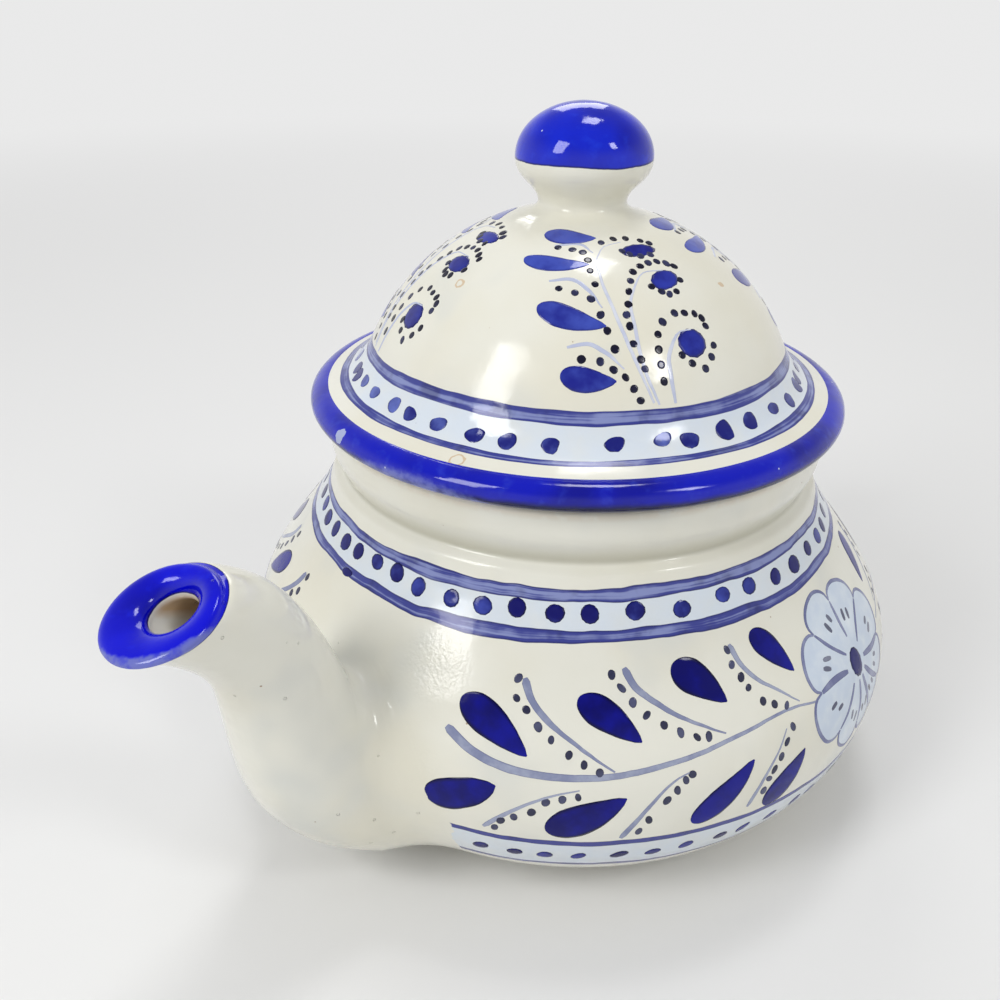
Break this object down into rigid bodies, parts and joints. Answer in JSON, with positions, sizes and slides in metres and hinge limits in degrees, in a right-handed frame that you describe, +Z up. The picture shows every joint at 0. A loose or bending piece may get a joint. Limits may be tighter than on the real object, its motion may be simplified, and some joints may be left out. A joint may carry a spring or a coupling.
{
  "type": "teapot",
  "caption": "Squat hand-painted tin-glazed teapot with a curved rolled-lip spout, a loop handle and a loose domed lid with a mushroom knob.",
  "frame": {"origin": "on the surface the pot stands on, under the middle of the box round the whole teapot, which is the pot's turning axis to within a fraction of a millimetre", "axes": "+X towards the spout, -X towards the handle, +Z up along the pot's turning axis and the way the lid lifts, +Y completes the right-handed frame"},
  "size_m": [0.2534, 0.166, 0.1644],
  "materials": {
    "glaze": "gloss",
    "cobalt": "gloss",
    "bare_clay": "matte"
  },
  "bodies": {
    "pot": {"belly": "glaze", "foot_ring": "bare_clay", "neck_collar": "glaze", "spout": "glaze", "handle": "glaze"},
    "lid": {"lid_bell": "glaze", "lid_rim": "cobalt", "lid_collar": "glaze", "lid_knob": "cobalt"}
  },
  "joints": [
    {"name": "lid_lift", "type": "slide", "parent": "pot", "child": "lid", "axis": [0, 0, 1], "range_m": [0, 0.08]}
  ]
}
